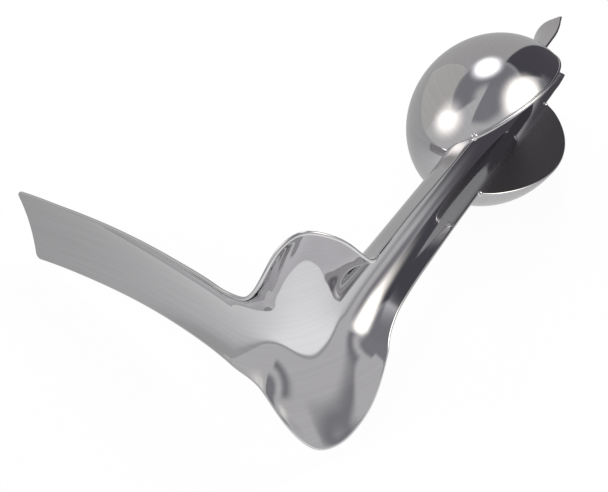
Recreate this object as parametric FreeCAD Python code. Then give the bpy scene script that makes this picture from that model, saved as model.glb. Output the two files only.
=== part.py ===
import FreeCAD, Part
import math
import os
from FreeCAD import Vector

# A weighted speculum of the Auvard pattern, pressed and welded from polished stainless steel.
# Design frame: X runs down the trough towards the ball, whose centre is the origin.
# Y points to the back of the trough, where the blade goes, and Z points across, to one wing.
# The finished part is laid on its side, on the ball, one wing and one corner of the blade.

# Sheet
SHEET = 1.3                 # wall of the pressed sheet
SHELL = 1.5                 # wall of the ball's half shells

# Trough: a round floor between straight walls that lean outwards
TROUGH_DEPTH = 11.5         # floor to rim
TROUGH_HALF_WIDTH = 11.4    # across the rims where the trough enters the ball
TROUGH_WIDENING = 1.3       # what each side gains between the ball and the saddle
FLOOR_BEHIND_BALL_CENTRE = 2.6
WALL_ROUNDNESS = 0.55       # 0 is a V with straight walls, 1 is one round arc
SADDLE_TO_BALL = 133.6      # start of the bend to the ball's centre

# Saddle: the bend between trough and blade, with a wing on each side
BEND_RADIUS = 21.0          # of the floor line
BEND_TURN = 114.0           # degrees
WING_HALF_WIDTH = 41.6
WING_RISE = 16.1            # floor to rim at the widest place
WING_LIP = 1.2              # how far the wing's rim rolls back

# Blade: a shallow gutter that curves slowly away from the trough
BLADE_LENGTH = 120.0        # end of the bend to the tip, on the floor line
BLADE_CURVE = 15.0          # degrees that the blade turns back along its length
BLADE_HALF_WIDTH = 14.9
BLADE_DEPTH = 3.2
TIP_HALF_WIDTH = 15.3
TIP_DEPTH = 1.5
TIP_CORNER = 2.6            # radius of the tip's two corners

# Ball weight
BALL_HALF_LENGTH = 43.2     # along the trough
BALL_RADIUS = 32.7          # across the trough
BALL_END_RADIUS = 27.0      # of the arc over each end of the ball's oval
SLOT_FILLET = 3.5           # where a slot wall runs into a rim of the trough
BEAD_RADIUS = 1.7

# Pouring lip beyond the ball
LIP_REACH = 72.0            # ball centre to the lip's end
LIP_HALF_WIDTH = 13.6
LIP_DEPTH = 12.6
LIP_SINK = 3.2              # how far the lip's floor drops away at its end

POINTS_ACROSS = 25          # points that carry each section of the sheet
POINTS_ALONG = 4.5          # longest step between sections

BEND_LENGTH = BEND_RADIUS * math.radians(BEND_TURN)
TIP_AT = BEND_LENGTH + BLADE_LENGTH
ENTRY = BALL_HALF_LENGTH + 3.5          # the plain channel through the ball ends here, both sides
ENTRY_AT = ENTRY - SADDLE_TO_BALL


def floor_line(along):
    """Floor line of the gutter: x, y and heading in radians, at a distance along it.

    The distance is 0 at the start of the bend, grows towards the tip and is negative in the trough.
    """
    start_x, start_y = -SADDLE_TO_BALL, FLOOR_BEHIND_BALL_CENTRE
    if along <= 0:
        return start_x - along, start_y, 0.0
    turned = min(along, BEND_LENGTH) / BEND_RADIUS
    x = start_x - BEND_RADIUS * math.sin(turned)
    y = start_y + BEND_RADIUS * (1 - math.cos(turned))
    if along <= BEND_LENGTH:
        return x, y, turned
    radius = BLADE_LENGTH / math.radians(BLADE_CURVE)
    back = (along - BEND_LENGTH) / radius
    heading = turned - back
    x += radius * (math.sin(heading) - math.sin(turned))
    y += radius * (math.cos(heading) - math.cos(turned))
    return x, y, heading


def stations():
    """Places along the gutter where its section is given.

    Each row holds the distance along the floor line, half width, rise of the rim,
    roundness of the section, how far the rim rolls back and how far the floor sinks.
    """
    bend = BEND_LENGTH
    wide = TROUGH_HALF_WIDTH + TROUGH_WIDENING
    rows = [
        (ENTRY_AT, TROUGH_HALF_WIDTH, TROUGH_DEPTH, WALL_ROUNDNESS, 0.0),
        (ENTRY_AT + 6, TROUGH_HALF_WIDTH, TROUGH_DEPTH, WALL_ROUNDNESS, 0.0),
        (-40, wide - 0.3, TROUGH_DEPTH, WALL_ROUNDNESS, 0.0),
        (-20, wide + 0.4, TROUGH_DEPTH + 0.6, 0.58, 0.0),
        (-8, wide + 2.2, TROUGH_DEPTH + 2.0, 0.62, 0.0),
        (0.03 * bend, wide + 5.6, TROUGH_DEPTH + 4.5, 0.68, 0.1),
        (0.09 * bend, wide + 9.6, TROUGH_DEPTH + 5.2, 0.74, 0.3),
        (0.16 * bend, wide + 17.8, TROUGH_DEPTH + 4.8, 0.80, 0.6),
        (0.25 * bend, WING_HALF_WIDTH - 5.0, WING_RISE - 0.3, 0.84, 0.9),
        (0.38 * bend, WING_HALF_WIDTH, WING_RISE, 0.86, WING_LIP),
        (0.48 * bend, WING_HALF_WIDTH - 2.0, WING_RISE + 2.3, 0.86, WING_LIP),
        (0.56 * bend, WING_HALF_WIDTH - 11.4, WING_RISE + 3.1, 0.84, 1.0),
        (0.63 * bend, BLADE_HALF_WIDTH + 7.1, WING_RISE - 0.8, 0.82, 0.5),
        (0.72 * bend, BLADE_HALF_WIDTH + 2.3, WING_RISE - 5.7, 0.80, 0.2),
        (0.84 * bend, BLADE_HALF_WIDTH + 1.2, BLADE_DEPTH + 4.0, 0.80, 0.0),
        (bend, BLADE_HALF_WIDTH + 1.0, BLADE_DEPTH + 2.6, 0.80, 0.0),
        (bend + 0.22 * BLADE_LENGTH, BLADE_HALF_WIDTH + 0.2, BLADE_DEPTH + 1.3, 0.80, 0.0),
        (bend + 0.5 * BLADE_LENGTH, BLADE_HALF_WIDTH, BLADE_DEPTH, 0.80, 0.0),
        (bend + 0.78 * BLADE_LENGTH, BLADE_HALF_WIDTH, 0.5 * (BLADE_DEPTH + TIP_DEPTH), 0.80, 0.0),
        (TIP_AT, TIP_HALF_WIDTH, TIP_DEPTH, 0.80, 0.0),
    ]
    return [row + (0.0,) for row in rows]


def lip_stations():
    """Places along the pouring lip, from the channel's end to the cut end, where its floor sinks."""
    start = -ENTRY - SADDLE_TO_BALL
    reach = LIP_REACH - ENTRY
    flare = LIP_HALF_WIDTH - TROUGH_HALF_WIDTH
    deeper = LIP_DEPTH - TROUGH_DEPTH
    rows = [
        (start, TROUGH_HALF_WIDTH, TROUGH_DEPTH, WALL_ROUNDNESS, 0.0, 0.0),
        (start - 0.15 * reach, TROUGH_HALF_WIDTH, TROUGH_DEPTH, WALL_ROUNDNESS, 0.0, 0.03 * LIP_SINK),
    ]
    for share in (0.45, 0.75, 1.0):
        rows.append((start - share * reach, TROUGH_HALF_WIDTH + flare * share ** 3,
                     TROUGH_DEPTH + deeper * share, WALL_ROUNDNESS, 0.0, LIP_SINK * share ** 2))
    return rows


def blend(rows, along):
    """Section values at a distance, by a smooth cubic through the rows of stations."""
    rows = sorted(rows)
    last = len(rows) - 1
    i = 0
    while i < last - 1 and along > rows[i + 1][0]:
        i += 1
    a, b = rows[i], rows[i + 1]
    span = b[0] - a[0]
    f = (along - a[0]) / span

    def slope(k, j):
        if k == 0 or k == last:
            return 0.0
        before = (rows[k][j] - rows[k - 1][j]) / (rows[k][0] - rows[k - 1][0])
        after = (rows[k + 1][j] - rows[k][j]) / (rows[k + 1][0] - rows[k][0])
        if before * after <= 0:
            return 0.0
        return 2 * before * after / (before + after)

    values = []
    for j in range(1, len(a)):
        step = (3 - 2 * f) * f * f
        grow = f * (1 - f) ** 2
        fall = f * f * (f - 1)
        values.append(a[j] + (b[j] - a[j]) * step + span * (slope(i, j) * grow + slope(i + 1, j) * fall))
    return values


def section_shape(half_width, rise, roundness):
    """Wall slope, floor radius and wall length of a section with an arc floor and straight walls."""
    straight = math.atan2(rise, half_width)
    slope = straight * (1 + roundness)
    radius = (half_width * math.sin(slope) - rise * math.cos(slope)) / (1 - math.cos(slope))
    wall = (rise * math.sin(slope) - half_width * (1 - math.cos(slope))) / (1 - math.cos(slope))
    return slope, radius, wall


def across(values, f):
    """Point of a section, offset across and rise, from one rim (-1) to the other (1)."""
    half_width, rise, roundness, roll = values[:4]
    slope, radius, wall = section_shape(half_width, rise, roundness)
    arc = radius * slope
    run = abs(f) * (arc + wall)
    if run <= arc:
        over = radius * math.sin(run / radius)
        up = radius * (1 - math.cos(run / radius))
    else:
        over = radius * math.sin(slope) + (run - arc) * math.cos(slope)
        up = radius * (1 - math.cos(slope)) + (run - arc) * math.sin(slope)
    return math.copysign(over, f), up - roll * f ** 6


def inner_point(rows, along, f):
    """Point on the gutter's inner face."""
    values = blend(rows, along)
    over, up = across(values, f)
    up -= values[4]
    x, y, heading = floor_line(along)
    return Vector(x - up * math.sin(heading), y - up * math.cos(heading), over)


def outer_point(rows, along, f, end):
    """Point on the back of the sheet, one wall out along the normal, level with the cut at an end."""
    step = 0.01
    run = inner_point(rows, along, min(f + step, 1)) - inner_point(rows, along, max(f - step, -1))
    heading = floor_line(along)[2]
    lead = Vector(-math.cos(heading), math.sin(heading), 0)
    if not end:
        lead = inner_point(rows, along + step, f) - inner_point(rows, along - step, f)
    normal = lead.cross(run)
    normal.normalize()
    return inner_point(rows, along, f) + normal * SHEET


def sheet_faces(rows, places):
    """Inner and outer surface of the sheet through sections at the given places."""
    steps = [2 * i / (POINTS_ACROSS - 1) - 1 for i in range(POINTS_ACROSS)]
    inner_rows = [[inner_point(rows, along, f) for f in steps] for along in places]
    outer_rows = []
    for along in places:
        end = along in (places[0], places[-1])
        outer_rows.append([outer_point(rows, along, f, end) for f in steps])
    surfaces = []
    for grid in (inner_rows, outer_rows):
        surface = Part.BSplineSurface()
        surface.interpolate(grid)
        surfaces.append(surface)
    return surfaces


def borders(surface):
    """The four border edges of a surface: both cut ends, then both rims."""
    u0, u1, v0, v1 = surface.bounds()
    return [surface.uIso(u0).toShape(), surface.uIso(u1).toShape(),
            surface.vIso(v0).toShape(), surface.vIso(v1).toShape()]


def closed_solid(faces):
    shell = Part.makeShell(faces)
    shell.sewShape()
    solid = Part.Solid(shell)
    if solid.Volume < 0:
        solid.reverse()
    return solid


def between(edges_a, edges_b):
    """Ruled faces from each edge of one set to its like in the other."""
    return [Part.makeRuledSurface(a, b) for a, b in zip(edges_a, edges_b)]


def spaced(rows):
    """Places along the gutter, each row's own and even steps between them."""
    places = []
    for a, b in zip(rows[:-1], rows[1:]):
        count = max(1, math.ceil(abs(b[0] - a[0]) / POINTS_ALONG))
        places += [a[0] + (b[0] - a[0]) * i / count for i in range(count)]
    places.append(rows[-1][0])
    return places


def oval():
    """Ball's profile: the end arc's centre on X, the side arc's centre across it, and where they meet.

    The meeting place is given as the angle, from across the ball towards its end.
    """
    ahead = BALL_HALF_LENGTH - BALL_END_RADIUS
    narrower = BALL_RADIUS - BALL_END_RADIUS
    below = (ahead ** 2 - narrower ** 2) / (2 * narrower)
    return ahead, below, math.atan2(ahead, below)


def long_ball(inset):
    """Ball turned about X from three tangent arcs, all drawn in from the outside by an even wall."""
    ahead, below, meet = oval()
    end = BALL_END_RADIUS - inset
    tip = Vector(ahead + end, 0, 0)
    slant = math.radians(45) + meet / 2
    between = Vector(ahead + end * math.sin(slant), end * math.cos(slant), 0)
    joint = Vector(ahead + end * math.sin(meet), end * math.cos(meet), 0)
    top = Vector(0, BALL_RADIUS - inset, 0)

    def across_from(point):
        return Vector(-point.x, point.y, 0)

    edges = [
        Part.Arc(across_from(tip), across_from(between), across_from(joint)).toShape(),
        Part.Arc(across_from(joint), top, joint).toShape(),
        Part.Arc(joint, between, tip).toShape(),
        Part.makeLine(tip, across_from(tip)),
    ]
    return Part.Face(Part.Wire(edges)).revolve(Vector(0, 0, 0), Vector(1, 0, 0), 360)


def slot_points(offset, reach):
    """Corners of the channel's section through the ball, offset out from its inner face.

    Gives, in Y and Z, the floor's middle, the end of the floor's arc and the top of the wall.
    """
    slope, radius, wall = section_shape(TROUGH_HALF_WIDTH, TROUGH_DEPTH, WALL_ROUNDNESS)
    floor_y = FLOOR_BEHIND_BALL_CENTRE
    centre_y = floor_y - radius
    size = radius + offset
    arc_end = (centre_y + size * math.cos(slope), size * math.sin(slope))
    run = wall + reach
    top = (arc_end[0] - run * math.sin(slope), arc_end[1] + run * math.cos(slope))
    return (floor_y + offset, 0.0), arc_end, top


def slot_space(back_edges):
    """Everything inside the sheet's back through the ball, open to the front."""
    y, z = slot_points(SHEET, 2 * BALL_RADIUS)[2]
    sections = []
    for edge in back_edges:
        x = edge.Vertexes[0].X
        low, high = edge.Vertexes[0].Point, edge.Vertexes[-1].Point
        if low.z > high.z:
            low, high = high, low
        top_low, top_high = Vector(x, y, -z), Vector(x, y, z)
        sections.append([edge, Part.makeLine(high, top_high), Part.makeLine(top_high, top_low),
                         Part.makeLine(top_low, low)])
    faces = between(*sections)
    faces += [Part.Face(Part.Wire(Part.__sortEdges__(edges))) for edges in sections]
    return closed_solid(faces)


def slot_wall(ball, side):
    """Flat wall that goes on from a rim of the channel up to the ball's surface."""
    corners = []
    for offset, reach in ((0.0, 0.0), (0.0, BALL_RADIUS), (SHEET, BALL_RADIUS), (SHEET, 0.0)):
        y, z = slot_points(offset, reach)[2]
        corners.append(Vector(0, y, side * z))
    face = Part.Face(Part.makePolygon(corners + corners[:1]))
    face.translate(Vector(-ENTRY, 0, 0))
    return face.extrude(Vector(2 * ENTRY, 0, 0)).common(ball)


def fillet_slot(solid):
    """Round the four corners where a slot wall runs into a rim of the trough."""
    rim_y = slot_points(0.0, 0.0)[2][0]
    corners = []
    for edge in solid.Edges:
        centre = edge.BoundBox.Center
        short = edge.Length < 1.2 * SHEET
        at_rim = abs(centre.y - rim_y) < SHEET
        if short and at_rim and 0.7 * BALL_HALF_LENGTH < abs(centre.x) < BALL_HALF_LENGTH:
            corners.append(edge)
    return solid.makeFillet(SLOT_FILLET, corners)


def tip_trim():
    """Tool that rounds the two corners of the blade's tip."""
    x, y, heading = floor_line(TIP_AT)
    reach = 4 * TIP_CORNER
    wide = 2 * TIP_HALF_WIDTH
    r = TIP_CORNER
    w = TIP_HALF_WIDTH
    bow = r * math.sqrt(0.5)
    # local X runs off the tip, local Y across and local Z out of the gutter
    off_tip = Vector(-math.cos(heading), math.sin(heading), 0)
    over = Vector(0, 0, 1)
    place = FreeCAD.Placement(Vector(x, y, 0), FreeCAD.Rotation(off_tip, over, off_tip.cross(over), "ZXY"))
    tools = []
    for side in (1, -1):
        arc_start = Vector(-r, side * w, 0)
        arc_mid = Vector(-r + bow, side * (w - r + bow), 0)
        arc_end = Vector(0, side * (w - r), 0)
        outside = [arc_end, Vector(r, side * (w - r), 0), Vector(r, side * wide, 0),
                   Vector(-r, side * wide, 0), arc_start]
        edges = [Part.makeLine(p, q) for p, q in zip(outside[:-1], outside[1:])]
        edges.append(Part.Arc(arc_start, arc_mid, arc_end).toShape())
        tool = Part.Face(Part.Wire(edges)).extrude(Vector(0, 0, 2 * reach))
        tool.translate(Vector(0, 0, -reach))
        tool.Placement = place.multiply(tool.Placement)
        tools.append(tool)
    return tools


def gutter_sheet(ball):
    """The whole pressed sheet, and the two edges of its back where it enters and leaves the ball."""
    faces = []
    joints = []
    for rows in (stations(), lip_stations()):
        surfaces = sheet_faces(rows, spaced(rows))
        inner, outer = borders(surfaces[0]), borders(surfaces[1])
        rims = between(inner[2:], outer[2:])
        cut_end = between(inner[1:2], outer[1:2])
        faces += [surface.toShape() for surface in surfaces] + rims + cut_end
        ends = [Part.makeLine(inner[0].Vertexes[k].Point, outer[0].Vertexes[k].Point) for k in (0, -1)]
        joints.append([inner[0], outer[0]] + ends)
    faces += between(*joints)
    sheet = closed_solid(faces).cut(tip_trim())
    walls = [slot_wall(ball, side) for side in (1, -1)]
    return fillet_slot(sheet.fuse(walls)), [edges[1] for edges in joints]


def weld_beads(ball, slot):
    """A small bead in each corner where a rim of the trough enters the ball."""
    rim_y, rim_z = slot_points(SHEET, 0.0)[2]
    x = oval()[0] + math.sqrt(BALL_END_RADIUS ** 2 - rim_y ** 2 - rim_z ** 2)
    beads = []
    for end in (1, -1):
        for side in (1, -1):
            bead = Part.makeSphere(BEAD_RADIUS, Vector(end * x, rim_y, side * rim_z))
            beads += bead.cut([ball, slot]).Solids
    return Part.makeCompound(beads)


def resting_turn():
    """Turn that lays the part down on the ball, the lower wing and the blade's lower corner."""
    rows = stations()
    wing = []
    blade = []
    steps = 60
    for i in range(steps + 1):
        along = BEND_LENGTH * (0.1 + 0.6 * i / steps)
        wing.append(inner_point(rows, along, -1))
        along = BEND_LENGTH + BLADE_LENGTH * i / steps
        blade.append(inner_point(rows, along, -1))
    below = oval()[1]
    lean_x = 0.0
    lean_y = 0.0
    for step in range(40):
        up = Vector(lean_x, lean_y, 1)
        up.normalize()
        under_ball = below * math.hypot(up.y, up.z) - (BALL_RADIUS + below)
        low_wing = min(wing, key=up.dot)
        low_blade = min(blade, key=up.dot)
        lean_x += 0.5 * (under_ball - up.dot(low_wing)) / low_wing.x
        lean_y += 0.5 * (under_ball - up.dot(low_blade)) / low_blade.y
    return FreeCAD.Rotation(up, Vector(0, 0, 1))


def build():
    ball = long_ball(0)
    core = long_ball(SHELL)
    sheet, back_edges = gutter_sheet(ball)
    slot = slot_space(back_edges)
    shell = ball.cut([core, slot])
    size = 3 * BALL_HALF_LENGTH
    upper_space = Part.makeBox(size, size, size, Vector(-size / 2, -size / 2, 0))
    return {
        "gutter_sheet": sheet,
        "ball_shell_upper": shell.common(upper_space),
        "ball_shell_lower": shell.cut(upper_space),
        "lead_filling": core.cut(slot),
        "weld_beads": weld_beads(ball, slot),
    }


def lay_down(parts):
    """Turn every piece the same way, then set the whole on Z = 0 with its box centred on Z."""
    turn = resting_turn()
    laid = {}
    for name, shape in parts.items():
        laid[name] = shape.copy()
        laid[name].rotate(Vector(0, 0, 0), turn.Axis, math.degrees(turn.Angle))
    box = Part.makeCompound(list(laid.values())).optimalBoundingBox(True, False)
    shift = Vector(-box.Center.x, -box.Center.y, -box.ZMin)
    for shape in laid.values():
        shape.translate(shift)
    return laid


os.makedirs("parts", exist_ok=True)
for name, shape in lay_down(build()).items():
    shape.exportStep("parts/" + name + ".step")
    print(name, "solids", len(shape.Solids), "valid", shape.isValid(), "volume", round(shape.Volume, 1))
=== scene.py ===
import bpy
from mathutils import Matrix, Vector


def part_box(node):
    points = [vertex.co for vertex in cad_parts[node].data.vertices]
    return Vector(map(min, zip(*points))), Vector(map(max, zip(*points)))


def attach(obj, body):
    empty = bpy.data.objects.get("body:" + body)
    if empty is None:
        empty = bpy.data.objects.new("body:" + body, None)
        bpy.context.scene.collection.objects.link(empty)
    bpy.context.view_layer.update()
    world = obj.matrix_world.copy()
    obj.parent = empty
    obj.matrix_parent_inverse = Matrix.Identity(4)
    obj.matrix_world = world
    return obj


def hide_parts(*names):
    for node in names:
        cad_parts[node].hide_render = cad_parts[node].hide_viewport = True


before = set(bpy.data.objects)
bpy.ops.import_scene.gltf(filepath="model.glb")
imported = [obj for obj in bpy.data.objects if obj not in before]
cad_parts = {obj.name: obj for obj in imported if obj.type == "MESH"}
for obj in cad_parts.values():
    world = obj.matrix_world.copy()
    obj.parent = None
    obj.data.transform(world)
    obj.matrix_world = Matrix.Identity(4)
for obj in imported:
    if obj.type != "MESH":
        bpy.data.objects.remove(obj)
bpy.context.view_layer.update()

import math

import bpy
import numpy as np
from mathutils import Matrix, Vector

# The gutter: one pressed sheet of stainless steel that runs from the blade through the winged
# saddle and the trough to the pouring lip. It is drawn in a press, trimmed, and its rims are
# rolled smooth on a belt. Sizes are in millimetres, in the gutter's own frame: X down the
# trough to the ball's centre, Y to the back of the trough, Z across to the upper wing.
SHEET = 1.3
TROUGH_DEPTH = 11.5
TROUGH_HALF_WIDTH = 11.4
TROUGH_WIDENING = 1.3
FLOOR_BEHIND_BALL_CENTRE = 2.6
WALL_ROUNDNESS = 0.55
SADDLE_TO_BALL = 133.6
BEND_RADIUS = 21.0
BEND_TURN = 114.0
WING_HALF_WIDTH = 41.6
WING_RISE = 16.1
WING_LIP = 1.2
BLADE_LENGTH = 120.0
BLADE_CURVE = 15.0
BLADE_HALF_WIDTH = 14.9
BLADE_DEPTH = 3.2
TIP_HALF_WIDTH = 15.3
TIP_DEPTH = 1.5
TIP_CORNER = 2.6
BALL_HALF_LENGTH = 43.2
BALL_RADIUS = 32.7
BALL_END_RADIUS = 27.0
SLOT_FILLET = 3.5
LIP_REACH = 72.0
LIP_HALF_WIDTH = 13.6
LIP_DEPTH = 12.6
LIP_SINK = 3.2
BEND_LENGTH = BEND_RADIUS * math.radians(BEND_TURN)
TIP_AT = BEND_LENGTH + BLADE_LENGTH
ENTRY = BALL_HALF_LENGTH + 3.5
ENTRY_AT = ENTRY - SADDLE_TO_BALL
LIP_AT = -LIP_REACH - SADDLE_TO_BALL


def floor_line(along):
    """Floor line: a straight run, a bend of constant radius, then a slow arc back over the blade.

    Gives x, y and heading (radians) for distances along it, 0 at the start of the bend.
    """
    turned = np.clip(along, 0, BEND_LENGTH) / BEND_RADIUS
    x = -SADDLE_TO_BALL - np.minimum(along, 0) - BEND_RADIUS * np.sin(turned)
    y = FLOOR_BEHIND_BALL_CENTRE + BEND_RADIUS * (1 - np.cos(turned))
    radius = BLADE_LENGTH / math.radians(BLADE_CURVE)
    heading = turned - np.maximum(along - BEND_LENGTH, 0) / radius
    return (x + radius * (np.sin(heading) - np.sin(turned)),
            y + radius * (np.cos(heading) - np.cos(turned)), heading)


def stations():
    """Sections of the gutter: distance, half width, rise, roundness, rim roll and floor sink."""
    bend = BEND_LENGTH
    wide = TROUGH_HALF_WIDTH + TROUGH_WIDENING
    reach = LIP_REACH - ENTRY
    rows = [
        (LIP_AT, LIP_HALF_WIDTH, LIP_DEPTH, WALL_ROUNDNESS, 0.0, LIP_SINK),
        (LIP_AT + 0.25 * reach, TROUGH_HALF_WIDTH + 0.42 * (LIP_HALF_WIDTH - TROUGH_HALF_WIDTH),
         TROUGH_DEPTH + 0.75 * (LIP_DEPTH - TROUGH_DEPTH), WALL_ROUNDNESS, 0.0, 0.56 * LIP_SINK),
        (LIP_AT + 0.55 * reach, TROUGH_HALF_WIDTH + 0.09 * (LIP_HALF_WIDTH - TROUGH_HALF_WIDTH),
         TROUGH_DEPTH + 0.45 * (LIP_DEPTH - TROUGH_DEPTH), WALL_ROUNDNESS, 0.0, 0.2 * LIP_SINK),
        (LIP_AT + 0.85 * reach, TROUGH_HALF_WIDTH, TROUGH_DEPTH, WALL_ROUNDNESS, 0.0, 0.03 * LIP_SINK),
        (LIP_AT + reach, TROUGH_HALF_WIDTH, TROUGH_DEPTH, WALL_ROUNDNESS, 0.0, 0.0),
        (ENTRY_AT, TROUGH_HALF_WIDTH, TROUGH_DEPTH, WALL_ROUNDNESS, 0.0, 0.0),
        (ENTRY_AT + 6, TROUGH_HALF_WIDTH, TROUGH_DEPTH, WALL_ROUNDNESS, 0.0, 0.0),
        (-40, wide - 0.3, TROUGH_DEPTH, WALL_ROUNDNESS, 0.0, 0.0),
        (-20, wide + 0.4, TROUGH_DEPTH + 0.6, 0.58, 0.0, 0.0),
        (-8, wide + 2.2, TROUGH_DEPTH + 2.0, 0.62, 0.0, 0.0),
        (0.03 * bend, wide + 5.6, TROUGH_DEPTH + 4.5, 0.68, 0.1, 0.0),
        (0.09 * bend, wide + 9.6, TROUGH_DEPTH + 5.2, 0.74, 0.3, 0.0),
        (0.16 * bend, wide + 17.8, TROUGH_DEPTH + 4.8, 0.80, 0.6, 0.0),
        (0.25 * bend, WING_HALF_WIDTH - 5.0, WING_RISE - 0.3, 0.84, 0.9, 0.0),
        (0.38 * bend, WING_HALF_WIDTH, WING_RISE, 0.86, WING_LIP, 0.0),
        (0.48 * bend, WING_HALF_WIDTH - 2.0, WING_RISE + 2.3, 0.86, WING_LIP, 0.0),
        (0.56 * bend, WING_HALF_WIDTH - 11.4, WING_RISE + 3.1, 0.84, 1.0, 0.0),
        (0.63 * bend, BLADE_HALF_WIDTH + 7.1, WING_RISE - 0.8, 0.82, 0.5, 0.0),
        (0.72 * bend, BLADE_HALF_WIDTH + 2.3, WING_RISE - 5.7, 0.80, 0.2, 0.0),
        (0.84 * bend, BLADE_HALF_WIDTH + 1.2, BLADE_DEPTH + 4.0, 0.80, 0.0, 0.0),
        (bend, BLADE_HALF_WIDTH + 1.0, BLADE_DEPTH + 2.6, 0.80, 0.0, 0.0),
        (bend + 0.22 * BLADE_LENGTH, BLADE_HALF_WIDTH + 0.2, BLADE_DEPTH + 1.3, 0.80, 0.0, 0.0),
        (bend + 0.5 * BLADE_LENGTH, BLADE_HALF_WIDTH, BLADE_DEPTH, 0.80, 0.0, 0.0),
        (bend + 0.78 * BLADE_LENGTH, BLADE_HALF_WIDTH, 0.5 * (BLADE_DEPTH + TIP_DEPTH), 0.80, 0.0, 0.0),
        (TIP_AT, TIP_HALF_WIDTH, TIP_DEPTH, 0.80, 0.0, 0.0),
    ]
    return np.array(rows)


def blend(rows, along):
    """Monotone cubic through the stations: harmonic mean slopes, cubic Hermite between them."""
    at, values = rows[:, 0], rows[:, 1:]
    steps = np.diff(values, axis=0) / np.diff(at)[:, None]
    slopes = np.zeros_like(values)
    both = steps[:-1] * steps[1:] > 0
    slopes[1:-1][both] = (2 * steps[:-1] * steps[1:])[both] / (steps[:-1] + steps[1:])[both]
    i = np.clip(np.searchsorted(at, along) - 1, 0, len(at) - 2)
    span = (at[i + 1] - at[i])[:, None]
    f = np.clip((along - at[i]) / (at[i + 1] - at[i]), 0, 1)[:, None]
    step = (3 - 2 * f) * f * f
    return (values[i] + (values[i + 1] - values[i]) * step
            + span * (slopes[i] * f * (1 - f) ** 2 + slopes[i + 1] * f * f * (f - 1)))


def eased(rows, along, reach=1.5):
    """Stations smoothed along the gutter: the mean of the blend under a bell of that reach."""
    offsets = np.linspace(-2.5, 2.5, 21)
    weights = np.exp(-offsets ** 2 / 2)
    weights /= weights.sum()
    return sum(w * blend(rows, along + o * reach) for o, w in zip(offsets, weights))


def section_shape(half_width, rise, roundness):
    """Wall slope, floor radius and wall length of a section with an arc floor and straight walls."""
    slope = np.arctan2(rise, half_width) * (1 + roundness)
    radius = (half_width * np.sin(slope) - rise * np.cos(slope)) / (1 - np.cos(slope))
    wall = (rise * np.sin(slope) - half_width * (1 - np.cos(slope))) / (1 - np.cos(slope))
    return slope, radius, wall


def wall_above_rim(x):
    """Height of the slot's wall above the trough's rim, measured along the wall, at a place x.

    Inside the ball it is where the wall's plane meets the ball. At each end of the slot an arc
    of the fillet's radius carries it down to the rim, tangent to both.
    """
    slope, radius, wall = section_shape(TROUGH_HALF_WIDTH, TROUGH_DEPTH, WALL_ROUNDNESS)
    rim = np.array([FLOOR_BEHIND_BALL_CENTRE - TROUGH_DEPTH, TROUGH_HALF_WIDTH])
    up = np.array([-math.sin(slope), math.cos(slope)])
    foot = rim @ up
    from_axis = math.sqrt(rim @ rim - foot ** 2)
    height = np.sqrt(np.maximum(ball_profile(x) ** 2 - from_axis ** 2, 0)) - foot
    ahead = BALL_HALF_LENGTH - BALL_END_RADIUS
    circle = math.sqrt(BALL_END_RADIUS ** 2 - from_axis ** 2)
    centre = ahead + math.sqrt((circle + SLOT_FILLET) ** 2 - (SLOT_FILLET + foot) ** 2)
    touch = centre + (ahead - centre) * SLOT_FILLET / (circle + SLOT_FILLET)
    out = np.abs(x)
    arc = SLOT_FILLET - np.sqrt(np.maximum(SLOT_FILLET ** 2 - (out - centre) ** 2, 0))
    return np.where(out > centre, 0.0, np.where(out > touch, arc, height))


def ball_profile(x):
    """Radius of the ball's oval at x: a side arc across the middle and an end arc at each end."""
    ahead = BALL_HALF_LENGTH - BALL_END_RADIUS
    narrower = BALL_RADIUS - BALL_END_RADIUS
    below = (ahead ** 2 - narrower ** 2) / (2 * narrower)
    joint = ahead + BALL_END_RADIUS * ahead / math.hypot(ahead, below)
    side = np.sqrt(np.maximum((BALL_RADIUS + below) ** 2 - x ** 2, 0)) - below
    end = np.sqrt(np.maximum(BALL_END_RADIUS ** 2 - (np.abs(x) - ahead) ** 2, 0))
    return np.where(np.abs(x) < joint, side, end)


def gutter_face(along, f):
    """Inner face of the gutter: a section at each distance, f from -1 to 1 across it.

    The section is an arc floor with straight walls tangent to it; in the ball the walls are longer.
    """
    half_width, rise, roundness, roll, sink = eased(stations(), along).T[:, :, None]
    slope, radius, wall = section_shape(half_width, rise, roundness)
    x, y, heading = (value[:, None] for value in floor_line(along))
    taller = np.where(along < ENTRY_AT, wall_above_rim(-SADDLE_TO_BALL - along), 0)[:, None]
    arc = radius * slope
    run = np.abs(f) * (arc + wall + taller)
    on_arc = np.minimum(run, arc) / radius
    past = np.maximum(run - arc, 0)
    over = radius * np.sin(on_arc) + past * np.cos(slope)
    up = radius * (1 - np.cos(on_arc)) + past * np.sin(slope)
    up = up - roll * np.abs(f) ** 6 - sink
    over = np.copysign(over, f)
    return np.stack([x - up * np.sin(heading), y - up * np.cos(heading), over + 0 * x], axis=-1)


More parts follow.
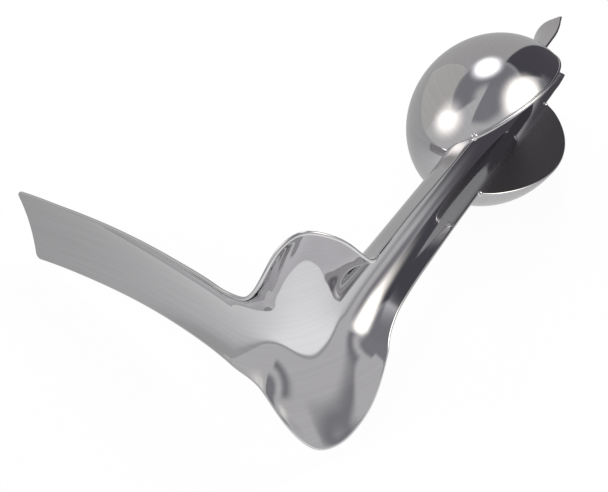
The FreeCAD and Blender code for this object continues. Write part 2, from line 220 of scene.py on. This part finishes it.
def resting_turn():
    """Turn that lays the part down on the ball, the lower wing and the blade's lower corner."""
    rim = np.array([[-1.0]])
    wing = gutter_face(np.linspace(0.1, 0.7, 61) * BEND_LENGTH, rim)[:, 0]
    blade = gutter_face(BEND_LENGTH + np.linspace(0, 1, 61) * BLADE_LENGTH, rim)[:, 0]
    narrower = BALL_RADIUS - BALL_END_RADIUS
    ahead = BALL_HALF_LENGTH - BALL_END_RADIUS
    below = (ahead ** 2 - narrower ** 2) / (2 * narrower)
    lean = np.zeros(2)
    for step in range(60):
        up = np.array([*lean, 1.0])
        up /= np.linalg.norm(up)
        under_ball = below * math.hypot(up[1], up[2]) - (BALL_RADIUS + below)
        low_wing = wing[np.argmin(wing @ up)]
        low_blade = blade[np.argmin(blade @ up)]
        lean[0] += 0.5 * (under_ball - low_wing @ up) / low_wing[0]
        lean[1] += 0.5 * (under_ball - low_blade @ up) / low_blade[1]
    axis = np.cross(up, [0, 0, 1])
    sine, cosine = np.linalg.norm(axis), up[2]
    axis /= sine
    skew = np.array([[0, -axis[2], axis[1]], [axis[2], 0, -axis[0]], [-axis[1], axis[0], 0]])
    return np.eye(3) + sine * skew + (1 - cosine) * skew @ skew


TURN = resting_turn()


def ball_place():
    """Ball centre in the frame: its shells are even about it along X, and reach up and aside from it
    by the side arc's radius less what the arc's centre, a ring below the axis, leans away."""
    low = np.minimum(*(np.array(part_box(name)[0]) for name in ("ball_shell_upper", "ball_shell_lower")))
    high = np.maximum(*(np.array(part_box(name)[1]) for name in ("ball_shell_upper", "ball_shell_lower")))
    narrower = BALL_RADIUS - BALL_END_RADIUS
    ahead = BALL_HALF_LENGTH - BALL_END_RADIUS
    below = (ahead ** 2 - narrower ** 2) / (2 * narrower)
    reach = BALL_RADIUS + below - below * np.hypot(TURN[:, 1], TURN[:, 2])
    return np.array([500 * (low[0] + high[0]), 1000 * high[1] - reach[1], 1000 * high[2] - reach[2]])


BALL_AT = ball_place()


def in_frame(points):
    """Points of the gutter's own frame, millimetres, as the frame's metres."""
    return (points @ TURN.T + BALL_AT) / 1000


SHARP_ANGLE = 50.0          # degrees between faces, from which the edge between them stays sharp


def new_piece(name, points, quads, uv=None, marks=None):
    """A mesh object of quads, in the frame's metres, smooth except where faces meet at an angle.

    uv holds metres along and across, and each mark is a number for every point.
    """
    mesh = bpy.data.meshes.new(name)
    mesh.from_pydata(in_frame(points), [], quads)
    mesh.polygons.foreach_set("use_smooth", np.ones(len(mesh.polygons), bool))
    mesh.set_sharp_from_angle(angle=math.radians(SHARP_ANGLE))
    if uv is not None:
        layer = mesh.uv_layers.new(name="along_and_across")
        corners = np.empty(len(mesh.loops), np.int32)
        mesh.loops.foreach_get("vertex_index", corners)
        layer.data.foreach_set("uv", uv[corners].ravel())
    for mark, values in (marks or {}).items():
        mesh.attributes.new(mark, "FLOAT", "POINT").data.foreach_set("value", values)
    piece = bpy.data.objects.new(name, mesh)
    bpy.context.scene.collection.objects.link(piece)
    return piece


def grid_quads(rows, columns, first=0, turned=False):
    """Quads of a grid of rows by columns whose points follow each other from first."""
    i, j = np.meshgrid(np.arange(rows - 1), np.arange(columns - 1), indexing="ij")
    a = (first + i * columns + j).ravel()
    quads = np.stack([a, a + 1, a + columns + 1, a + columns], axis=1)
    return quads[:, ::-1] if turned else quads


def surface_normals(grid):
    """Unit normals of a grid of points, from the differences between neighbours."""
    normals = np.cross(np.gradient(grid, axis=0), np.gradient(grid, axis=1))
    return normals / np.linalg.norm(normals, axis=-1, keepdims=True)


LIP_SECTIONS = 26
SLOT_SECTIONS = 190
FRONT_SECTIONS = 290
CORNER_SECTIONS = 12
POINTS_ACROSS = 85
RIM_POINTS = 9
SATIN_AND_SHADE_FADE = 2.0           # over which polish gives way to a satin ground finish and painted shade, above the rim's level


def gutter_places():
    """Distances of the sheet's sections: even steps, closer where a slot wall leaves the rim."""
    x = np.linspace(-ENTRY, ENTRY, 4001)
    height = wall_above_rim(x)
    length = np.concatenate([[0], np.cumsum(np.hypot(np.diff(x), np.diff(height)))])
    slot = np.interp(np.linspace(0, length[-1], SLOT_SECTIONS), length, x)
    slot = -SADDLE_TO_BALL - slot[::-1]
    lip = np.linspace(LIP_AT + SHEET / 2, LIP_AT + LIP_REACH - ENTRY, LIP_SECTIONS)[:-1]
    front = np.linspace(ENTRY_AT, TIP_AT - TIP_CORNER, FRONT_SECTIONS)[1:]
    round_corner = 1 - np.sin(np.linspace(0, math.pi / 2, CORNER_SECTIONS))
    corner = TIP_AT - SHEET / 2 - (TIP_CORNER - SHEET / 2) * round_corner
    return np.concatenate([lip, slot, front, corner[1:]])


def gutter_sheet():
    """Inner face, back and rolled rim of the sheet.

    The back is one wall behind the inner face along its normal, and the rim is a half circle
    carried round the whole outline. The outline is drawn in by half a wall to make room for it.
    """
    along = gutter_places()
    half_width, rise, roundness = eased(stations(), along).T[:3]
    slope, radius, wall = section_shape(half_width, rise, roundness)
    taller = np.where(along < ENTRY_AT, wall_above_rim(-SADDLE_TO_BALL - along), 0)
    length = radius * slope + wall + taller
    corner = TIP_CORNER - SHEET / 2
    into = np.clip(along - (TIP_AT - TIP_CORNER), 0, corner)
    drawn_in = SHEET / 2 + corner - np.sqrt(corner ** 2 - into ** 2)
    limit = 1 - drawn_in / length
    spread = np.linspace(-1, 1, POINTS_ACROSS)
    spread = spread * (1.25 - 0.25 * spread ** 2)
    inner = gutter_face(along, limit[:, None] * spread)
    normals = surface_normals(inner)
    rows, columns = inner.shape[:2]
    back = inner + SHEET * normals
    edge = np.concatenate([
        np.arange(columns), np.arange(1, rows) * columns + columns - 1,
        (rows - 1) * columns + np.arange(columns - 2, -1, -1), np.arange(rows - 2, 0, -1) * columns])
    loop = inner.reshape(-1, 3)[edge]
    out = normals.reshape(-1, 3)[edge]
    run = np.roll(loop, -1, axis=0) - np.roll(loop, 1, axis=0)
    away = np.cross(out, run)
    away /= np.linalg.norm(away, axis=1, keepdims=True)
    angles = np.linspace(0, math.pi, RIM_POINTS)[1:-1]
    half = SHEET / 2
    rim = [loop + out * half * (1 - math.cos(a)) + away * half * math.sin(a) for a in angles]
    points = np.concatenate([inner.reshape(-1, 3), back.reshape(-1, 3), *rim])
    count = rows * columns
    rings = [2 * count + k * len(edge) + np.arange(len(edge)) for k in range(len(rim))]
    rings = [edge, *rings, count + edge]
    quads = [grid_quads(rows, columns), grid_quads(rows, columns, count, turned=True)]
    for a, b in zip(rings[:-1], rings[1:]):
        quads.append(np.stack([np.roll(a, -1), a, b, np.roll(b, -1)], axis=1))
    across = np.cumsum(np.linalg.norm(np.diff(inner, axis=1, prepend=inner[:, :1]), axis=2), axis=1)
    across -= across[:, columns // 2:columns // 2 + 1]
    flat = np.stack([np.repeat(along[:, None], columns, 1), across], axis=-1).reshape(-1, 2) / 1000
    uv = np.concatenate([flat, flat, *[flat[edge]] * len(rim)])
    # Where the slot's walls stand above the rim the inner face is marked: rougher there, and darker as
    # painted shade of the slot.
    above = np.abs(spread) * limit[:, None] * length[:, None] - (length - taller)[:, None]
    slot_satin_and_shade = np.clip(above / SATIN_AND_SHADE_FADE, 0, 1).ravel()
    satin_and_painted_shade = np.concatenate([slot_satin_and_shade, 0 * slot_satin_and_shade, np.zeros(len(rim) * len(edge))])
    marks = {"satin_and_painted_shade": satin_and_painted_shade, "pressed": np.ones(len(points))}
    return new_piece("gutter", points, np.concatenate(quads), uv, marks)


gutter = gutter_sheet()
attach(gutter, "root")
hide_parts("gutter_sheet")


def linear(code):
    """A hex sRGB colour as linear red, green, blue and alpha."""
    values = [int(code[k:k + 2], 16) / 255 for k in (1, 3, 5)]
    return [v / 12.92 if v <= 0.04045 else ((v + 0.055) / 1.055) ** 2.4 for v in values] + [1.0]


def node(tree, kind, settings=None, **links):
    """Add a node: settings are its own properties, links name its inputs and hold values or sockets.

    An input is named with _ for each space, or as i and its place where several share a name.
    """
    made = tree.nodes.new(kind)
    for key, value in (settings or {}).items():
        setattr(made, key, value)
    for key, value in links.items():
        by_place = key[0] == "i" and key[1:].isdigit()
        socket = made.inputs[int(key[1:]) if by_place else key.replace("_", " ")]
        if isinstance(value, bpy.types.NodeSocket):
            tree.links.new(value, socket)
        else:
            socket.default_value = value
    return made


STEEL_COLOURS = ("#cccbcd", "#c8c7c9")      # between and on the polishing lines
# Painted shade of the slot's walls: the darker colour given to the satin faces inside the slot.
SLOT_PAINTED_SHADE = "#8b898b"
WAVE_LENGTH = 60.0          # slow waves, crest to crest along the sheet
WAVE_WIDTH = 11.0           # and across it
WAVE_HEIGHTS = (0.006, 0.06)    # on the evenly ground ball and on the pressed gutter
LINE_LENGTH = 55.0          # polishing lines, drawn coarser than real ones so that they show
LINE_WIDTH = 1.3
LINE_HEIGHT = 0.0012
POLISHED_ROUGHNESS = (0.035, 0.07)
GROUND_ROUGHNESS = 0.3


def mirror_polished_stainless():
    """Stainless steel, belt ground and then buffed to a mirror.

    Pressing and buffing leave slow waves that bend the edges of reflections, and fine lines along
    the gutter that haze them. Faces inside the slot are only ground, so they are satin; their colour
    is also darkened there as painted shade of the narrow slot.
    """
    material = bpy.data.materials.new("mirror_polished_stainless")
    material.use_nodes = True
    tree = material.node_tree
    tree.nodes.clear()
    place = node(tree, "ShaderNodeTexCoord")
    pressed = node(tree, "ShaderNodeAttribute", {"attribute_name": "pressed"})
    wave_height = node(tree, "ShaderNodeMapRange", Value=pressed.outputs["Fac"],
                       To_Min=WAVE_HEIGHTS[0] / 1000, To_Max=WAVE_HEIGHTS[1] / 1000)
    drawn = node(tree, "ShaderNodeMapping", Vector=place.outputs["UV"],
                 Scale=(1000 / WAVE_LENGTH, 1000 / WAVE_WIDTH, 1.0))
    waves = node(tree, "ShaderNodeTexNoise", Vector=drawn.outputs["Vector"], Scale=1.0, Detail=1.0)
    wavy = node(tree, "ShaderNodeBump", Distance=wave_height.outputs[0], Height=waves.outputs["Fac"])
    thin = node(tree, "ShaderNodeMapping", Vector=place.outputs["UV"],
                Scale=(1000 / LINE_LENGTH, 1000 / LINE_WIDTH, 1.0))
    lines = node(tree, "ShaderNodeTexNoise", Vector=thin.outputs["Vector"], Scale=1.0, Detail=3.0)
    lined = node(tree, "ShaderNodeBump", Distance=LINE_HEIGHT / 1000, Height=lines.outputs["Fac"],
                 Normal=wavy.outputs["Normal"])
    line = node(tree, "ShaderNodeMapRange", Value=lines.outputs["Fac"], From_Min=0.35, From_Max=0.65)
    haze = node(tree, "ShaderNodeMapRange", Value=line.outputs[0],
                To_Min=POLISHED_ROUGHNESS[0], To_Max=POLISHED_ROUGHNESS[1])
    bright = node(tree, "ShaderNodeMix", {"data_type": "RGBA"}, i0=line.outputs[0],
                  i6=linear(STEEL_COLOURS[0]), i7=linear(STEEL_COLOURS[1]))
    # The faces in the slot: rougher, and darkened with painted shade of the narrow slot.
    satin_and_shade = node(tree, "ShaderNodeAttribute", {"attribute_name": "satin_and_painted_shade"})
    rough = node(tree, "ShaderNodeMix", i0=satin_and_shade.outputs["Fac"], i2=haze.outputs[0], i3=GROUND_ROUGHNESS)
    colour = node(tree, "ShaderNodeMix", {"data_type": "RGBA"}, i0=satin_and_shade.outputs["Fac"],
                  i6=bright.outputs[2], i7=linear(SLOT_PAINTED_SHADE))
    shader = node(tree, "ShaderNodeBsdfPrincipled", Base_Color=colour.outputs[2], Metallic=1.0,
                  Roughness=rough.outputs[0], Normal=lined.outputs["Normal"])
    node(tree, "ShaderNodeOutputMaterial", Surface=shader.outputs["BSDF"])
    return material


STEEL = mirror_polished_stainless()
gutter.data.materials.append(STEEL)


# The ball's skin: two half shells pressed from thin stainless sheet, welded along the middle
# plane and to the walls of the slot, then ground flush and polished as one.
SHELL = 1.5
SKIN_EDGE = 0.5             # radius of the ground edge beside the slot
SKIN_RINGS = 181
SKIN_POINTS_ROUND = 251
PAST_SLOT_FLOOR = 0.02      # how far the last ring stays outside the back of the trough


def slot_edge_angle(radius):
    """Angle about the ball's axis, from the back, at which a circle meets the back of the channel.

    A small circle meets the channel's round floor, a larger one its straight wall.
    """
    slope, floor_radius, wall = section_shape(TROUGH_HALF_WIDTH, TROUGH_DEPTH, WALL_ROUNDNESS)
    size = floor_radius + SHEET
    centre = FLOOR_BEHIND_BALL_CENTRE - floor_radius
    cosine = (radius ** 2 + centre ** 2 - size ** 2) / (2 * radius * centre)
    on_floor = np.arccos(np.clip(cosine, -1, 1))
    start = np.array([centre + size * math.cos(slope), size * math.sin(slope)])
    up = np.array([-math.sin(slope), math.cos(slope)])
    foot = start @ up
    run = np.sqrt(np.maximum(radius ** 2 - (start @ start - foot ** 2), 0)) - foot
    on_wall = np.arctan2(start[1] + run * up[1], start[0] + run * up[0])
    return np.where(radius < np.linalg.norm(start), on_floor, on_wall)


def ball_skin():
    """Outside of the ball: a circle of the oval's radius at each x, from one side of the slot
    round the back to the other. The inside is one wall in, and strips join them at the slot."""
    floor_back = FLOOR_BEHIND_BALL_CENTRE + SHEET
    ahead = BALL_HALF_LENGTH - BALL_END_RADIUS
    last = ahead + math.sqrt(BALL_END_RADIUS ** 2 - (floor_back + PAST_SLOT_FLOOR) ** 2)
    lean = np.linspace(-1, 1, SKIN_RINGS)
    x = last * np.sin(lean * math.pi / 2)
    radius = ball_profile(x)
    turn = slot_edge_angle(radius)
    spread = np.linspace(-1, 1, SKIN_POINTS_ROUND)
    spread = spread * (1.2 - 0.2 * spread ** 2)
    angle = turn[:, None] * spread
    left = (turn[:, None] - np.abs(angle)) * radius[:, None]
    dip = SKIN_EDGE - np.sqrt(np.maximum(SKIN_EDGE ** 2 - np.maximum(SKIN_EDGE - left, 0) ** 2, 0))
    dip *= np.minimum(turn / 0.3, 1)[:, None]
    size = radius[:, None] - dip
    outside = np.stack([x[:, None] + 0 * angle, size * np.cos(angle), size * np.sin(angle)], axis=-1)
    inside_x = x * (1 - SHELL / BALL_HALF_LENGTH)
    inside_size = (radius * (1 - SHELL / BALL_RADIUS))[:, None] + 0 * angle
    inside = np.stack([inside_x[:, None] + 0 * angle, inside_size * np.cos(angle),
                       inside_size * np.sin(angle)], axis=-1)
    rows, columns = angle.shape
    count = rows * columns
    points = np.concatenate([outside.reshape(-1, 3), inside.reshape(-1, 3)])
    quads = [grid_quads(rows, columns), grid_quads(rows, columns, count, turned=True)]
    edge = np.concatenate([
        np.arange(columns), np.arange(1, rows) * columns + columns - 1,
        (rows - 1) * columns + np.arange(columns - 2, -1, -1), np.arange(rows - 2, 0, -1) * columns])
    quads.append(np.stack([edge, edge + count, np.roll(edge, -1) + count, np.roll(edge, -1)], axis=1))
    flat = np.stack([x[:, None] + 0 * angle, angle * radius[:, None]], axis=-1).reshape(-1, 2) / 1000
    return new_piece("ball_skin", points, np.concatenate(quads), np.concatenate([flat, flat]))


skin = ball_skin()
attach(skin, "root")
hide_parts("ball_shell_upper", "ball_shell_lower")
skin.data.materials.append(STEEL)


# The filling: lead cast between the shells and the walls of the slot. It is dull, slightly uneven
# and out of sight, so the CAD solid stands for it as it is.
LEAD_COLOUR = "#6f7276"
LEAD_ROUGHNESS = (0.45, 0.65)
MOTTLES_PER_METRE = 180.0


def cast_lead():
    """Cast lead: a soft dark grey metal with a dull, slightly mottled skin."""
    material = bpy.data.materials.new("cast_lead")
    material.use_nodes = True
    tree = material.node_tree
    tree.nodes.clear()
    place = node(tree, "ShaderNodeTexCoord")
    mottle = node(tree, "ShaderNodeTexNoise", Vector=place.outputs["Object"], Scale=MOTTLES_PER_METRE,
                  Detail=3.0)
    ramp = node(tree, "ShaderNodeMapRange", Value=mottle.outputs["Fac"],
                To_Min=LEAD_ROUGHNESS[0], To_Max=LEAD_ROUGHNESS[1])
    shader = node(tree, "ShaderNodeBsdfPrincipled", Base_Color=linear(LEAD_COLOUR), Metallic=1.0,
                  Roughness=ramp.outputs["Result"])
    node(tree, "ShaderNodeOutputMaterial", Surface=shader.outputs["BSDF"])
    return material


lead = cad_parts["lead_filling"]
lead.data.materials.clear()
lead.data.materials.append(cast_lead())


# The weld beads: a dab of stainless filler in each corner where a rim of the trough enters the
# ball, buffed bright with the rest. Each stays slightly uneven.
BEAD_RADIUS = 1.5
BEAD_LIFT = 0.3             # of its centre behind the rim
BEAD_OUT = 0.8              # of its centre outside the inner face, in walls
BEAD_WAVES = (0.05, 0.04)   # three lobes round it and two along it, in radii


def weld_bead(x, z):
    """A dab of filler: a sphere with two low waves over it, centred on the rim's outer edge."""
    lean, turn = np.meshgrid(np.linspace(0, math.pi, 25), np.linspace(0, 2 * math.pi, 49), indexing="ij")
    lobes = BEAD_WAVES[0] * np.sin(3 * turn + x) * np.sin(lean) ** 2
    size = BEAD_RADIUS * (1 + lobes + BEAD_WAVES[1] * np.cos(2 * lean + z))
    centre = np.array([x, FLOOR_BEHIND_BALL_CENTRE - TROUGH_DEPTH + BEAD_LIFT, z])
    way = np.stack([np.sin(lean) * np.cos(turn), np.sin(lean) * np.sin(turn), np.cos(lean)], axis=-1)
    return centre + size[..., None] * way


def weld_beads():
    """The four beads as one piece, a closed grid each."""
    rim = math.hypot(FLOOR_BEHIND_BALL_CENTRE - TROUGH_DEPTH, TROUGH_HALF_WIDTH + SHEET)
    x = BALL_HALF_LENGTH - BALL_END_RADIUS + math.sqrt(BALL_END_RADIUS ** 2 - rim ** 2)
    z = TROUGH_HALF_WIDTH + BEAD_OUT * SHEET
    grids = [weld_bead(end * x, side * z) for end in (1, -1) for side in (1, -1)]
    rows, columns = grids[0].shape[:2]
    quads = [grid_quads(rows, columns, k * rows * columns) for k in range(len(grids))]
    points = np.concatenate([grid.reshape(-1, 3) for grid in grids])
    return new_piece("weld_bead_set", points, np.concatenate(quads))


beads = weld_beads()
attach(beads, "root")
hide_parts("weld_beads")
beads.data.materials.append(STEEL)


# The table: a matt white acrylic sheet under the whole picture. It shows white to the eye, and in
# metal and glass it shows a painted pool of light: a glow that is brightest in front of the saddle
# and dimmer further off, standing in for the light of the lamps on it. It keeps a part of its
# shading, so that the part still throws a shadow.
FLOOR_WHITE = "#f4f4f4"
FLOOR_SHOWN_WHITE = 0.85    # share of glow in what is seen: plain white to the eye, a painted pool of light in mirrors and glass
SHOWN_GLOW = 1.09
# A painted pool of light on the table, seen in mirrors and glass: brightest in front of the saddle, dimmer
# further off.
POOL_AT = (-0.24, -0.25, 0.0)   # middle of the pool, in front of the saddle
POOL_REACH = (0.12, 0.42)   # metres from there where the glow is full and where it is least
POOL_GLOW = (1.30, 0.50)
FLOOR_SIZE = 6.0


def table_white():
    """Matt white acrylic: diffuse, lifted towards white for the eye, and in mirrors and glass a painted
    pool of light.
    """
    material = bpy.data.materials.new("matt_white_acrylic")
    material.use_nodes = True
    tree = material.node_tree
    tree.nodes.clear()
    path = node(tree, "ShaderNodeLightPath")
    seen = path.outputs["Is Camera Ray"]
    for name in ("Is Glossy Ray", "Is Transmission Ray"):
        either = node(tree, "ShaderNodeMath", {"operation": "MAXIMUM"}, i0=seen, i1=path.outputs[name])
        seen = either.outputs[0]
    share = node(tree, "ShaderNodeMath", {"operation": "MULTIPLY"}, i0=seen, i1=FLOOR_SHOWN_WHITE)
    place = node(tree, "ShaderNodeTexCoord")
    away = node(tree, "ShaderNodeVectorMath", {"operation": "DISTANCE"},
                i0=place.outputs["Object"], i1=POOL_AT)
    pool = node(tree, "ShaderNodeMapRange", {"interpolation_type": "SMOOTHSTEP"}, i0=away.outputs["Value"],
                From_Min=POOL_REACH[0], From_Max=POOL_REACH[1], To_Min=POOL_GLOW[0], To_Max=POOL_GLOW[1])
    shown = node(tree, "ShaderNodeMath", {"operation": "MULTIPLY"},
                 i0=path.outputs["Is Camera Ray"], i1=SHOWN_GLOW)
    glow = node(tree, "ShaderNodeMath", {"operation": "MAXIMUM"}, i0=pool.outputs[0], i1=shown.outputs[0])
    lit = node(tree, "ShaderNodeBsdfDiffuse", Color=linear(FLOOR_WHITE))
    white = node(tree, "ShaderNodeEmission", Color=linear("#ffffff"), Strength=glow.outputs[0])
    both = node(tree, "ShaderNodeMixShader", i0=share.outputs[0], i1=lit.outputs[0], i2=white.outputs[0])
    node(tree, "ShaderNodeOutputMaterial", Surface=both.outputs[0])
    return material


def flat_sheet(name, corners, material):
    """A flat sheet through four corners, part of the studio."""
    mesh = bpy.data.meshes.new(name)
    mesh.from_pydata(corners, [], [(0, 1, 2, 3)])
    sheet = bpy.data.objects.new(name, mesh)
    bpy.context.scene.collection.objects.link(sheet)
    sheet.data.materials.append(material)
    return sheet


end = FLOOR_SIZE / 2
flat_sheet("floor", [(-end, -end, 0), (end, -end, 0), (end, end, 0), (-end, end, 0)], table_white())


# A card covered in black velvet that leans back beside the ball, outside the picture. Only mirrors
# see it: it gives the slot and the trough the dark that they show. Both its ends fade out, the
# front one slowly, and its top is lower at the front.
VELVET_COLOUR = "#56545a"
CARD_AHEAD = (0.145, 0.23)      # x at its foot and at its top
CARD_SIDES = (-0.26, -0.058)    # y of its front and back ends
CARD_FADES = (-0.235, -0.140, -0.064, -0.060)   # y where it starts to show, is solid, fades, is gone
CARD_TOPS = (0.13, 0.24)        # z of its top at the front and at the back


def dark_card_cloth():
    """Black velvet: dark grey without gloss, thinning to nothing at both ends."""
    material = bpy.data.materials.new("black_velvet")
    material.use_nodes = True
    tree = material.node_tree
    tree.nodes.clear()
    place = node(tree, "ShaderNodeSeparateXYZ", i0=node(tree, "ShaderNodeTexCoord").outputs["Object"])
    solid = node(tree, "ShaderNodeMapRange", {"interpolation_type": "SMOOTHSTEP"}, i0=place.outputs["Y"],
                 From_Min=CARD_FADES[0], From_Max=CARD_FADES[1])
    end = node(tree, "ShaderNodeMapRange", {"interpolation_type": "SMOOTHSTEP"}, i0=place.outputs["Y"],
               From_Min=CARD_FADES[3], From_Max=CARD_FADES[2])
    solid = node(tree, "ShaderNodeMath", {"operation": "MULTIPLY"}, i0=solid.outputs[0], i1=end.outputs[0])
    clear = node(tree, "ShaderNodeBsdfTransparent")
    dark = node(tree, "ShaderNodeEmission", Color=linear(VELVET_COLOUR), Strength=1.0)
    both = node(tree, "ShaderNodeMixShader", i0=solid.outputs[0], i1=clear.outputs[0], i2=dark.outputs[0])
    node(tree, "ShaderNodeOutputMaterial", Surface=both.outputs[0])
    return material


card_corners = [(CARD_AHEAD[0], CARD_SIDES[0], 0), (CARD_AHEAD[0], CARD_SIDES[1], 0),
                (CARD_AHEAD[1], CARD_SIDES[1], CARD_TOPS[1]), (CARD_AHEAD[1], CARD_SIDES[0], CARD_TOPS[0])]
card = flat_sheet("dark_card", card_corners, dark_card_cloth())
card.visible_camera = False
card.visible_diffuse = False
card.visible_shadow = False


# The room round the table: pale walls, a greyer ceiling, a pair of light panels behind the ball and
# a dark gap beside them. Each zone is a box in azimuth and elevation with soft edges, and a later
# one lies over the ones before it.
ROOM_COLOUR = "#efeeee"
ROOM_LEVEL = 0.76
ROOM_ZONES = (
    # colour, azimuth and half width, elevation and half height, soft edge, all in degrees
    ("#a6a6ac", -90, 92, 76, 20, 8),
    ("#a2a2a8", 45, 80, 64, 16, 7),
    ("#a5a4a9", -115, 42, 34, 7, 7),
    ("#d6d4d4", 22, 28, 10, 38, 0.8),
    ("#e6e4e0", 78, 27, 12, 38, 0.8),
    ("#605f66", -16, 17, 36, 12, 2),
    ("#a4a3a8", -40, 8, 20, 9, 5),
)

world = bpy.data.worlds.new("room")
bpy.context.scene.world = world
world.use_nodes = True
tree = world.node_tree
tree.nodes.clear()
way = node(tree, "ShaderNodeSeparateXYZ", i0=node(tree, "ShaderNodeTexCoord").outputs["Generated"])
azimuth = node(tree, "ShaderNodeMath", {"operation": "ARCTAN2"}, i0=way.outputs["Y"], i1=way.outputs["X"])
elevation = node(tree, "ShaderNodeMath", {"operation": "ARCSINE"}, i0=way.outputs["Z"])


def within(angle, centre, half, soft):
    """1 where an angle is within half of the centre, falling smoothly to 0 over a soft edge."""
    away = node(tree, "ShaderNodeMath", {"operation": "SUBTRACT"},
                i0=angle.outputs[0], i1=math.radians(centre))
    away = node(tree, "ShaderNodeMath", {"operation": "ABSOLUTE"}, i0=away.outputs[0])
    return node(tree, "ShaderNodeMapRange", {"interpolation_type": "SMOOTHSTEP"}, i0=away.outputs[0],
                From_Min=math.radians(half + soft), From_Max=math.radians(half - soft))


shown = linear(ROOM_COLOUR)
for colour, azimuth_at, half_azimuth, elevation_at, half_elevation, soft in ROOM_ZONES:
    share = node(tree, "ShaderNodeMath", {"operation": "MULTIPLY"},
                 i0=within(azimuth, azimuth_at, half_azimuth, soft).outputs[0],
                 i1=within(elevation, elevation_at, half_elevation, soft).outputs[0])
    shown = node(tree, "ShaderNodeMix", {"data_type": "RGBA"}, i0=share.outputs[0], i6=shown,
                 i7=linear(colour)).outputs[2]
glow = node(tree, "ShaderNodeBackground", Color=shown, Strength=ROOM_LEVEL)
node(tree, "ShaderNodeOutputWorld", Surface=glow.outputs[0])


# The lamps: three round diffusers, one high behind the ball and one on each side. Each is a sheet
# of opal acrylic lit from behind. The two at the sides light the metal and spare the table.
LAMPS_AIM = (0.05, -0.06, 0.06)
LAMP_FALL = 1.6             # how quickly a lamp dims from its middle to its rim


def soft_lamp(name, colour, place, size, radiance, fade_from, on_table=True):
    """A round diffuser lit from behind: brightest in the middle, fading to nothing at its rim."""
    lamp = bpy.data.lights.new(name, "AREA")
    lamp.shape = "DISK"
    lamp.size = size
    lamp.color = linear(colour)[:3]
    lamp.energy = radiance * math.pi * math.pi * size ** 2 / 4
    lamp.use_nodes = True
    tree = lamp.node_tree
    tree.nodes.clear()
    on_lamp = node(tree, "ShaderNodeNewGeometry")
    from_middle = node(tree, "ShaderNodeVectorMath", {"operation": "DISTANCE"},
                       i0=on_lamp.outputs["Parametric"], i1=(0.5, 0.5, 0.0))
    fade = node(tree, "ShaderNodeMapRange", {"interpolation_type": "SMOOTHSTEP"},
                i0=from_middle.outputs["Value"], From_Min=0.5, From_Max=fade_from)
    fade = node(tree, "ShaderNodeMath", {"operation": "POWER"}, i0=fade.outputs[0], i1=LAMP_FALL)
    glow = node(tree, "ShaderNodeEmission", Strength=fade.outputs[0])
    node(tree, "ShaderNodeOutputLight", Surface=glow.outputs[0])
    holder = bpy.data.objects.new(name, lamp)
    holder.location = place
    holder.rotation_euler = (Vector(LAMPS_AIM) - Vector(place)).to_track_quat("-Z", "Y").to_euler()
    holder.visible_camera = False
    holder.visible_diffuse = on_table
    bpy.context.scene.collection.objects.link(holder)


soft_lamp("lamp_above", "#ffffff", (0.215, 0.020, 0.370), 0.27, 5.0, 0.0)
soft_lamp("lamp_right", "#fffaf0", (0.101, -0.210, 0.212), 0.29, 4.4, 0.0, on_table=False)
soft_lamp("lamp_left", "#fffaf2", (-0.097, 0.102, 0.204), 0.36, 2.0, 0.0, on_table=False)


# The camera stands half a metre off, above and in front of the saddle. Its place is given in the
# gutter's own frame, in millimetres, with the directions of its picture's right, down and depth.
CAMERA_PLACE = (-438.9, -184.8, 239.2)
CAMERA_RIGHT = (0.45996, -0.87539, -0.14879)
CAMERA_DOWN = (-0.52165, -0.13079, -0.84307)
CAMERA_AHEAD = (0.71855, 0.46539, -0.51681)
FOCAL_PIXELS = 1300.0
SENSOR = 36.0
PHOTO_WIDTH = 608

eye = bpy.data.cameras.new("camera")
eye.sensor_width = SENSOR
eye.lens = FOCAL_PIXELS / PHOTO_WIDTH * SENSOR
camera = bpy.data.objects.new("camera", eye)
axes = np.array([CAMERA_RIGHT, -np.array(CAMERA_DOWN), -np.array(CAMERA_AHEAD)]) @ TURN.T
turned = Matrix([[*axes[:, k]] for k in range(3)]).to_4x4()
turned.translation = in_frame(np.array(CAMERA_PLACE))
camera.matrix_world = turned
bpy.context.scene.collection.objects.link(camera)
bpy.context.scene.camera = camera
bpy.context.scene.view_settings.view_transform = "Standard"
